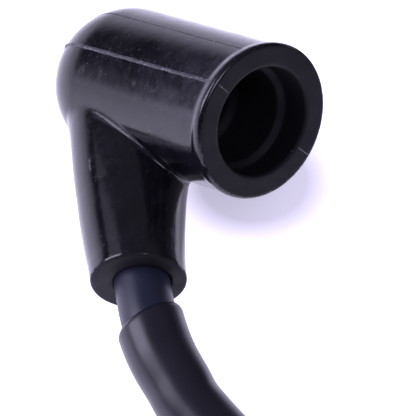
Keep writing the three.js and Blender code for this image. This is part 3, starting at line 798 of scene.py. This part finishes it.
def flash_strip(path, width, height, seed):
    """Rows of points of a ragged ridge that stands on the boot's skin along a path."""
    path, normals = onto_boot(path)
    draw = np.random.default_rng(seed)
    tangents = np.gradient(path, axis=0)
    sides = np.cross(normals, tangents)
    sides /= norm(sides, axis=1)[:, None]
    coarse = 0.85 + 0.2 * waves(path, 2.4, seed + 1)
    ragged = np.clip(coarse + draw.uniform(-0.14, 0.14, len(path)), 0.4, 1.4)
    ragged[:2] = ragged[-2:] = 0
    wide = width * (0.7 + 0.3 * ragged)
    sway = 0.05 * width * waves(path, 3, seed + 2)
    rows = []
    for share, lift in ((-1, -0.12), (-0.6, 0.62), (-0.15, 1), (0.3, 0.95), (0.7, 0.55), (1, -0.12)):
        rise = np.where(lift > 0, lift * height * ragged, -0.06)
        rows.append(path + sides * (sway + share * wide / 2)[:, None] + normals * rise[:, None])
    return np.stack(rows, 1)


SEAMS = {  # ridges on the skin, where the mould's parts met: path, width, height
    "parting_line": (barrel_seam(28), 0.62, 0.15),
    "parting_line_back": (barrel_seam(211), 0.5, 0.12),
    "core_line": (barrel_seam(-9, 1.2), 0.4, 0.05),
    "mouth_line": (mouth_seam(28), 0.24, 0.03),
    "mouth_line_back": (mouth_seam(211), 0.28, 0.05),
    "neck_line_left": (neck_seam(49, 15, 17), 0.4, 0.22),
    "neck_line_right": (neck_seam(232, 12.5, 29.8), 0.3, 0.12),
    # The crease line is no mould line: a ridge of flash, partly real, whose pale colour is a painted highlight
    # for the glint on the crease.
    "crease_glint_line": (crease_seam(42, -16), 0.3, 0.07),
}


def make_flash():
    """All ragged ridges as one piece: closed strips, each with its underside in the rubber."""
    points = []
    faces = []
    base = 0
    for seed, (path, width, height) in enumerate(SEAMS.values()):
        rows = flash_strip(path, width, height, 10 * seed + 3)
        count, across, _ = rows.shape
        points.append(rows.reshape(-1, 3))
        for i in range(count - 1):
            for j in range(across):
                k = (j + 1) % across
                corner = base + i * across
                faces.append([corner + j, corner + across + j, corner + across + k, corner + k])
        faces.append([base + j for j in range(across)])
        faces.append([base + (count - 1) * across + j for j in range(across)][::-1])
        base += count * across
    flash = mesh_object("boot_flash", np.concatenate(points), faces, flash_and_glint_rubber())
    return finished(flash, "boot", "boot_rubber")


def rows_of(items, key):
    """A vector of every vertex or face, as rows."""
    values = np.zeros(len(items) * 3)
    items.foreach_get(key, values)
    return values.reshape(-1, 3)


def mark_dust(boot):
    """Stores on the boot where dust lies by the seams, and where the barrel's top near the mouth is made
    paler.
    """
    points = rows_of(boot.data.vertices, "co") / MM
    count = len(points)
    near = np.zeros(count)
    for name, reach in (("parting_line", 1.0), ("core_line", 0.35), ("neck_line_right", 0.7)):
        path = onto_boot(SEAMS[name][0])[0][::4]
        for part in np.array_split(np.arange(count), 40):
            gap = norm(points[part, None] - path[None], axis=2).min(1)
            near[part] = np.maximum(near[part], np.exp(-((gap / reach) ** 2)))
    offset = points - MOUTH
    depth = -(offset @ MOUTH_NORMAL)
    # the top of the barrel near the mouth
    upper = smoothstep(offset @ BARREL_UP, 1, 7)
    pale_top = upper * (1 - smoothstep(depth, 3, 17)) * smoothstep(depth, 0.2, 1)
    for name, values in (("seam", near), ("pale_top", pale_top)):
        attribute = boot.data.attributes.new(name, "FLOAT", "POINT")
        attribute.data.foreach_set("value", values.astype(np.float32))


def mark_mouth(boot):
    """Gives the mouth's face, the socket and the neck's end the dull, unpolished rubber."""
    centres = rows_of(boot.data.polygons, "center") / MM
    normals = rows_of(boot.data.polygons, "normal")
    offset = centres - MOUTH
    along, radial = along_and_across(offset, BARREL_AXIS)
    facing = (normals @ MOUTH_NORMAL > 0.93) & (offset @ MOUTH_NORMAL > -1.2)
    dull = facing | ((radial < 7.6) & (-along < SOCKET_END + 0.5) & (along > -30))
    dull |= (normals @ NECK_AXIS > 0.4) & ((centres - NECK_END) @ NECK_AXIS > -0.8)
    boot.data.polygons.foreach_set("material_index", dull.astype(np.int32))


def make_boot():
    boot = moulded("boot", boot_field, "plug_boot", 0.27, moulded_rubber())
    boot.data.materials.append(dull_rubber())
    mark_dust(boot)
    mark_mouth(boot)
    return finished(boot, "boot", "boot_rubber", "plug_boot")


# ---- contact spring
SPRING_TURNS = 6
SPRING_PITCH = 1.35
SPRING_RADIUS = 4
SPRING_WIRE = 0.42
SPRING_DEPTH = 14
SPRING_TAIL = [7, 9, 11, 13.5]  # along the neck's axis


def make_spring():
    side = unit(NECK_AXIS - BARREL_AXIS * (NECK_AXIS @ BARREL_AXIS))
    across = np.cross(BARREL_AXIS, side)
    turns = np.arange(0, SPRING_TURNS + 0.01, 1 / 16)
    angles = turns * 2 * math.pi
    centres = MOUTH - np.outer(SPRING_DEPTH + SPRING_PITCH * turns, BARREL_AXIS)
    coil = centres + SPRING_RADIUS * (np.outer(np.cos(angles), side) + np.outer(np.sin(angles), across))
    tail = CROSSING + np.outer(SPRING_TAIL, NECK_AXIS)
    path = spline(np.vstack([coil, tail]), 0.2)
    spring = round_bar("spring", path, SPRING_WIRE, 12, spring_wire())
    return finished(spring, "boot", "plated_steel", "contact_spring")


# ---- core
PLATES = 10
PLATE_PITCH = 1
PLATE_THICKNESS = 0.95
CORE_BOTTOM = 9
LEG_A = -13
LEG_B = 22
LEG_HALF = 5
SLOT_X = -19
YOKE_FRONT = -13
POLE_TIP = 25
EAR_MIDDLE = 29.5
SLOT_HALF = 1.4  # from the slot's middle to the centre of its round end
SLOT_RADIUS = 2.6
EAR_RADIUS = 6
FLYWHEEL_RADIUS = 52
CORE_TOP = CORE_BOTTOM + (PLATES - 1) * PLATE_PITCH + PLATE_THICKNESS
STRAP_Y = 4
RIVET_PLACES = [(SLOT_X, LEG_A, 0), (SLOT_X, STRAP_Y, 0.6), (14, LEG_B, 0)]  # x, y, extra grip
RIVET_HOLE = 1.6


def arc(x, y, radius, start, end, count):
    """Points on an arc, with its angles in degrees."""
    angles = np.radians(np.linspace(start, end, count))
    return np.stack([x + radius * np.cos(angles), y + radius * np.sin(angles)], 1)


def hole(x, y, radius):
    return arc(x, y, radius, 0, 345, 24)


def pole_face(flywheel, middle, low, high):
    """Points up one leg's hollow pole face, from its lower corner to its upper one."""
    y = np.linspace(low, high, 13)
    return np.stack([flywheel - np.sqrt(FLYWHEEL_RADIUS ** 2 - (y - middle) ** 2), y], 1)


def plate_outline():
    """A core plate's outside, anticlockwise from the inner corner of its bare leg."""
    middle = (LEG_A + LEG_B) / 2
    flywheel = POLE_TIP + math.sqrt(FLYWHEEL_RADIUS ** 2 - (LEG_B + LEG_HALF - middle) ** 2)

    def leg(y):
        low = y - LEG_HALF
        high = y + LEG_HALF
        return [[YOKE_FRONT, low]], pole_face(flywheel, middle, low, high), [[YOKE_FRONT, high]]

    upper_ear = arc(SLOT_X, EAR_MIDDLE, EAR_RADIUS, 0, 180, 33)
    lower_ear = arc(SLOT_X, -EAR_MIDDLE, EAR_RADIUS, 180, 360, 33)
    return np.vstack([*leg(LEG_B), upper_ear, lower_ear, *leg(LEG_A)])


def slot_outline(y):
    front = arc(SLOT_X + SLOT_HALF, y, SLOT_RADIUS, -90, 90, 17)
    back = arc(SLOT_X - SLOT_HALF, y, SLOT_RADIUS, 90, 270, 17)
    return np.vstack([front, back])


def cut_sheet(name, outlines, z0, z1, bevel, material):
    """A flat piece from closed outlines, the first its outside, with bevelled edges."""
    curve = bpy.data.curves.new(name, "CURVE")
    curve.dimensions = "2D"
    curve.fill_mode = "BOTH"
    curve.extrude = ((z1 - z0) / 2 - bevel) * MM
    curve.bevel_depth = bevel * MM
    curve.bevel_resolution = 1
    curve.offset = -bevel * MM
    for outline in outlines:
        line = curve.splines.new("POLY")
        line.points.add(len(outline) - 1)
        for point, (x, y) in zip(line.points, outline):
            point.co = (x * MM, y * MM, 0, 1)
        line.use_cyclic_u = True
    shape = placed(name + "_outline", curve)
    mesh = bpy.data.meshes.new_from_object(shape.evaluated_get(bpy.context.evaluated_depsgraph_get()))
    bpy.data.objects.remove(shape)
    for vertex in mesh.vertices:
        vertex.co.z += (z0 + z1) / 2 * MM
    mesh.materials.clear()
    mesh.materials.append(material)
    mesh.name = name
    return placed(name, mesh)


def make_core():
    """Two thin sheets with eased edges in place of each CAD plate."""
    steel = core_steel()
    holes = [hole(x, y, RIVET_HOLE) for x, y, _ in RIVET_PLACES]
    outlines = [plate_outline(), slot_outline(EAR_MIDDLE), slot_outline(-EAR_MIDDLE), *holes]
    half = PLATE_THICKNESS / 2
    for i in range(PLATES):
        low = CORE_BOTTOM + i * PLATE_PITCH
        for j, part in enumerate(("a", "b")):
            start = low + j * half
            name = f"core_sheet_{i + 1:02d}{part}"
            sheet = cut_sheet(name, outlines, start + 0.01, start + half - 0.01, 0.07, steel)
            nodes = [f"core_plate_{i + 1:02d}"] if part == "a" else []
            finished(sheet, "module", "core_steel", *nodes)


def turned(name, profile, place, direction, sides, material):
    """A closed piece turned about an axis: profile is a run of (radius, height), on the axis at both ends
    or closed round a bore."""
    direction = unit(direction)
    side = unit(np.cross(direction, [0.3, 0.2, 0.9] if abs(direction[2]) < 0.9 else [1, 0, 0]))
    other = np.cross(direction, side)
    angles = even_angles(sides)
    ring = np.outer(np.cos(angles), side) + np.outer(np.sin(angles), other)
    points = []
    rows = []
    for radius, height in profile:
        centre = place + direction * height
        if radius > 0:
            rows.append(list(range(len(points), len(points) + sides)))
            points.extend(centre + radius * ring)
        else:
            rows.append([len(points)] * sides)
            points.append(centre)
    faces = []
    if profile[0][0] > 0:
        rows.append(rows[0])
    for near, far in zip(rows, rows[1:]):
        for i in range(sides):
            j = (i + 1) % sides
            faces.append(list(dict.fromkeys([near[i], near[j], far[j], far[i]])))
    return mesh_object(name, points, faces, material)


def eased(profile, radius, steps=4):
    """A profile whose inner corners are rounded off, by up to that radius."""
    points = np.array(profile)
    out = [points[0]]
    for before, corner, after in zip(points, points[1:], points[2:]):
        back = norm(before - corner)
        on = norm(after - corner)
        size = min(radius, 0.45 * back, 0.45 * on)
        start = corner + (before - corner) / back * size
        end = corner + (after - corner) / on * size
        for i in range(steps + 1):
            share = i / steps
            out.append((1 - share) ** 2 * start + 2 * share * (1 - share) * corner + share ** 2 * end)
    return out + [points[-1]]


def make_rivets():
    plate = plated_steel()
    for i, (x, y, grip) in enumerate(RIVET_PLACES):
        low = CORE_BOTTOM - 0.05
        high = CORE_TOP + grip + 0.05
        foot = [(0, low - 1.2), (1.9, low - 1.15), (2.6, low - 0.6), (2.8, low - 0.05), (2.75, low)]
        shank = [(1.5, low), (1.5, high)]
        head = [(2.75, high), (2.8, high + 0.05), (2.6, high + 0.6), (1.9, high + 1.05)]
        dimple = [(0.75, high + 1.2), (0.5, high + 0.85), (0, high + 0.8)]
        profile = eased(foot + shank + head + dimple, 0.3)
        rivet = turned(f"rivet_{i + 1}", profile, (x, y, 0), (0, 0, 1), 40, plate)
        finished(rivet, "module", "plated_steel", f"core_rivet_{i + 1}")


# ---- terminals
SPADE_Y = -20
SPADE_HALF = 3.15
SPADE_LOW = 23.4
SPADE_HIGH = 24.2
STRAP_LOW = 19.01
STRAP_HIGH = 19.49


def make_spade(tin):
    near = SPADE_Y - SPADE_HALF
    far = SPADE_Y + SPADE_HALF
    tip = [(-21.5, SPADE_Y + 1.95), (-21.5, SPADE_Y - 1.95), (-20.5, near)]
    blade = tip + [(-14.5, near), (-14.5, far), (-20.5, far)]
    outlines = [blade, hole(-17.5, SPADE_Y, 0.9)]
    spade = cut_sheet("stop_spade", outlines, SPADE_LOW, SPADE_HIGH, 0.18, tin)
    finished(spade, "module", "tinned_brass", "stop_terminal")
    root = [(-15.2, SPADE_Y - 2.5), (-10.8, SPADE_Y - 2.5), (-10.8, SPADE_Y + 2.5), (-15.2, SPADE_Y + 2.5)]
    stem = cut_sheet("stop_spade_root", [root], SPADE_LOW + 0.1, SPADE_HIGH - 0.1, 0.05, tin)
    finished(stem, "module", "tinned_brass")


def make_strap(tin):
    """The earth strap: a ring round the rivet, and a tail into the housing."""
    ring = arc(SLOT_X, STRAP_Y, 3.2, 38.7, 321.3, 60)
    strip = np.vstack([ring, [[-10.8, STRAP_Y - 2], [-10.8, STRAP_Y + 2]]])
    outlines = [strip, hole(SLOT_X, STRAP_Y, RIVET_HOLE)]
    strap = cut_sheet("strap", outlines, STRAP_LOW, STRAP_HIGH, 0.08, tin)
    finished(strap, "module", "tinned_brass", "earth_strap")


def make_terminals():
    tin = tinned_brass()
    make_spade(tin)
    make_strap(tin)


# ---- grommet
def make_grommet():
    def outside(along):
        return 5.5 - 0.06 * along

    profile = [(3.8, 0), (5.9, 0), (6.1, 0.2), (6.1, 1.4), (5.9, 1.6), (outside(1.6), 1.75)]
    for start in (4.5, 7.5, 10.5):
        floor = outside(start) - 0.5
        profile += [(outside(start), start), (floor, start + 0.35), (floor, start + 1.05)]
        profile += [(outside(start + 1.4), start + 1.4)]
    profile += [(outside(15.2), 15.2), (4.4, 16.4), (4.0, 16.4), (3.8, 16.1)]
    rounded = eased(profile + [(3.8, 8)], 0.25, 3)
    place = (BOSS_X, BOSS_END - 0.1, BOSS_Z)
    grommet = turned("grommet", rounded, place, (0, -1, 0), 56, grommet_rubber())
    return finished(grommet, "module", "grommet_rubber", "lead_grommet")


# ---- housing and potting
HOUSING_LOW = np.array([-12.5, -31, 0])
HOUSING_HIGH = np.array([15.5, 8, 28])
WALL = 1.8
BOSS_X = 1
BOSS_Z = 9
BOSS_RADIUS = 6.5
BOSS_END = -35.5


def block_field(points, low, high):
    """Distance to a box, negative inside."""
    return np.maximum(low - points, points - high).max(1)


def prism_field(points, low, high, corner):
    """Distance to an upright box with rounded upright edges, without its top and bottom."""
    middle = (low[:2] + high[:2]) / 2
    half = (high[:2] - low[:2]) / 2 - corner
    reach = np.abs(points[:, :2] - middle) - half
    outside = norm(np.maximum(reach, 0), axis=1)
    return outside + np.minimum(reach.max(1), 0) - corner


def housing_field(points):
    x, y, z = points.T
    walls = prism_field(points, HOUSING_LOW, HOUSING_HIGH, 3)
    shell = round_max(round_max(walls, z - HOUSING_HIGH[2], 0.5), -z, 0.6)
    across = np.hypot(x - BOSS_X, z - BOSS_Z)
    boss = round_max(across - BOSS_RADIUS, BOSS_END - y, 0.9)
    boss = np.maximum(boss, y - HOUSING_LOW[1] - 1)
    body = smooth_min(shell, boss, 0.9)
    inner = prism_field(points, HOUSING_LOW + WALL, HOUSING_HIGH - WALL, 1.2)
    body = round_max(body, -np.maximum(inner, WALL - z), 0.3)
    bore = np.maximum(across - 3.9, y - HOUSING_LOW[1] - 3)
    leg = LEG_HALF + 0.3
    core = block_field(points, [-20, LEG_A - leg, CORE_BOTTOM - 0.3], [20, LEG_A + leg, CORE_TOP + 0.3])
    spade = block_field(points, [-20, SPADE_Y - 2.6, SPADE_LOW], [-9, SPADE_Y + 2.6, SPADE_HIGH])
    strap = block_field(points, [-20, STRAP_Y - 2.3, CORE_TOP], [-9, STRAP_Y + 2.3, 19.65])
    for opening, edge in ((bore, 0.3), (core, 0.3), (spade, 0.15), (strap, 0.15)):
        body = round_max(body, -opening, edge)
    return body


def make_housing():
    housing = moulded("housing", housing_field, "coil_housing", 0.5, housing_plastic())
    return finished(housing, "module", "housing_plastic", "coil_housing")


RESIN_LEVEL = 26.75
BUBBLE_HEIGHT = 26.9
BUBBLES = [(7.3, 1.2, 0.55), (-4.6, -27.1, 0.4), (9.8, -20.4, 0.3), (-7.5, -6.2, 0.35)]  # x, y, radius
CAVITIES = [  # corners of the room for the windings, the circuit and the lead's end
    ([-11.7, -25.1, 0], [14.7, -0.9, 26.075]),
    ([-8.5, -1.9, 0], [11.5, 7, 22.5]),
    ([-3.2, -30.2, 0], [5.2, -24.1, 13.2]),
]


def resin_field(points):
    """The potting: it creeps up the walls at its rim, and bubbles have left pits in it."""
    z = points[:, 2]
    low = HOUSING_LOW + WALL + 0.1
    high = HOUSING_HIGH - WALL - 0.1
    sides = prism_field(points, low, high, 1.2)
    creep = 0.45 * np.exp(np.minimum(sides, 0) / 0.7)
    level = RESIN_LEVEL + creep + 0.05 * waves(points * [1, 1, 0], 14, 5, 4)
    body = np.maximum(round_max(sides, z - level, 0.25), 1.95 - z)
    for x, y, radius in BUBBLES:
        body = np.maximum(body, radius - norm(points - [x, y, BUBBLE_HEIGHT], axis=1))
    for cavity in CAVITIES:
        body = np.maximum(body, -block_field(points, *cavity))
    return body


def make_resin():
    resin = moulded("resin", resin_field, "potting_resin", 0.5, potting_resin())
    return finished(resin, "module", "potting_resin", "potting_resin")


def finish_inner_nodes():
    """Materials for the CAD nodes that keep their own shape."""
    finish_node(stranded_copper(), "lead_conductor")
    finish_node(bare_brass(), "lead_spike")
    finish_node(bobbin_plastic(), "primary_bobbin", "secondary_bobbin")
    finish_node(enamelled_copper("primary_wire", 0.0006), "primary_winding")
    finish_node(enamelled_copper("secondary_wire", 0.0003), "secondary_winding")
    finish_node(circuit_laminate(), "circuit_board")
    finish_node(capacitor_lacquer(), "charge_capacitor")
    finish_node(component_epoxy(), "trigger_thyristor", "charge_diode", "trigger_resistor")


# ---- stage
LILAC = (1.03, 0.97, 1.28)  # tint of the studio's white
# The floor's glow is painted light: a pool of light round the boot, and a painted shadow under the barrel.
PAINTED_LIGHT_POOL = (-0.0625, -0.06, 0)  # middle of the brightest part of the floor
PAINTED_SHADOW = (-0.0575, -0.0395, 0)  # middle of the shade under the barrel
FLOOR_REACH = 500  # past the object
LIGHT_DISTANCE = 0.6  # from the boot, in metres


def floor_white():
    """A pale floor that glows: a painted pool of light round the boot, and a painted shadow under the barrel.
    """
    skin = Surface("floor_white", (0.8, 0.8, 0.82), Roughness=0.9, Specular_IOR_Level=0.1)
    skin.shader.inputs["Emission Color"].default_value = (*LILAC, 1)

    def ring(centre, near, far, to_near, to_far):
        inputs = {0: skin.place, 1: centre}
        distance = skin.add("ShaderNodeVectorMath", inputs, operation="DISTANCE").outputs["Value"]
        return skin.spread(distance, near, far, to_near, to_far)

    # emission strength: the painted pool of light times the painted shadow
    painted_glow = skin.times(ring(PAINTED_LIGHT_POOL, 0.05, 0.2, 1.14, 0.62), ring(PAINTED_SHADOW, 0.007, 0.013, 0.4, 1))
    skin.link(painted_glow, "Emission Strength")
    return skin.material


def make_floor():
    low, high = (np.array(corner) / MM for corner in cad_bounds)
    x0, y0 = low[:2] - FLOOR_REACH
    x1, y1 = high[:2] + FLOOR_REACH
    points = [[x0, y0, 0], [x1, y0, 0], [x1, y1, 0], [x0, y1, 0]]
    floor = mesh_object("floor", points, [[0, 1, 2, 3]], floor_white())


def softbox(name, turn, tilt, width, height, radiance):
    """A light of that radiance, aimed at the boot from a heading. Its width and height are in degrees."""
    away = Vector(heading(turn, tilt))
    data = bpy.data.lights.new(name, "AREA")
    data.shape = "RECTANGLE"
    data.size = 2 * LIGHT_DISTANCE * math.tan(math.radians(width / 2))
    data.size_y = 2 * LIGHT_DISTANCE * math.tan(math.radians(height / 2))
    data.energy = radiance * math.pi * data.size * data.size_y
    data.color = LILAC
    light = placed(name, data)
    light.location = Vector(CROSSING * MM) + away * LIGHT_DISTANCE
    light.rotation_euler = away.to_track_quat("Z", "Y").to_euler()


def make_world():
    """A dim room above a bright horizon, which is a narrow band at the front and a wide one at the back."""
    world = bpy.data.worlds.new("studio")
    world.use_nodes = True
    tree = world.node_tree
    background = tree.nodes["Background"]
    background.inputs["Color"].default_value = (*LILAC, 1)
    place = add_node(tree, "ShaderNodeTexCoord").outputs["Generated"]
    split = add_node(tree, "ShaderNodeSeparateXYZ", {0: place})

    def fade(source, low, high, to_low, to_high):
        inputs = {"Value": source, "From Min": low, "From Max": high, "To Min": to_low, "To Max": to_high}
        return add_node(tree, "ShaderNodeMapRange", inputs, interpolation_type="SMOOTHSTEP").outputs[0]

    def total(a, b):
        return add_node(tree, "ShaderNodeMath", {0: a, 1: b}).outputs[0]

    height = split.outputs["Z"]
    width = fade(split.outputs["Y"], 0.1, 0.55, 0.035, 0.25)
    horizon = fade(height, 0.0, width, 0.9, 0)
    haze = fade(height, 0.14, 0.24, 0.2, 0.03)
    ceiling = fade(height, 0.35, 0.7, 0, 0.12)
    tree.links.new(total(total(horizon, haze), ceiling), background.inputs["Strength"])
    bpy.context.scene.world = world


def make_lights():
    softbox("left_softbox", 270, 32, 26, 40, 5)
    softbox("left_fill", 244, 36, 12, 26, 0.5)
    softbox("front_softbox", 28, 56, 26, 26, 3.2)
    make_world()
    bpy.context.scene.view_settings.view_transform = "Standard"


make_camera()
lead = make_lead()
sleeve = make_sleeve()
grommet = make_grommet()
boot = make_boot()
flash = make_flash()
spring = make_spring()
make_core()
make_rivets()
make_terminals()
make_housing()
make_resin()
finish_inner_nodes()
make_floor()
make_lights()
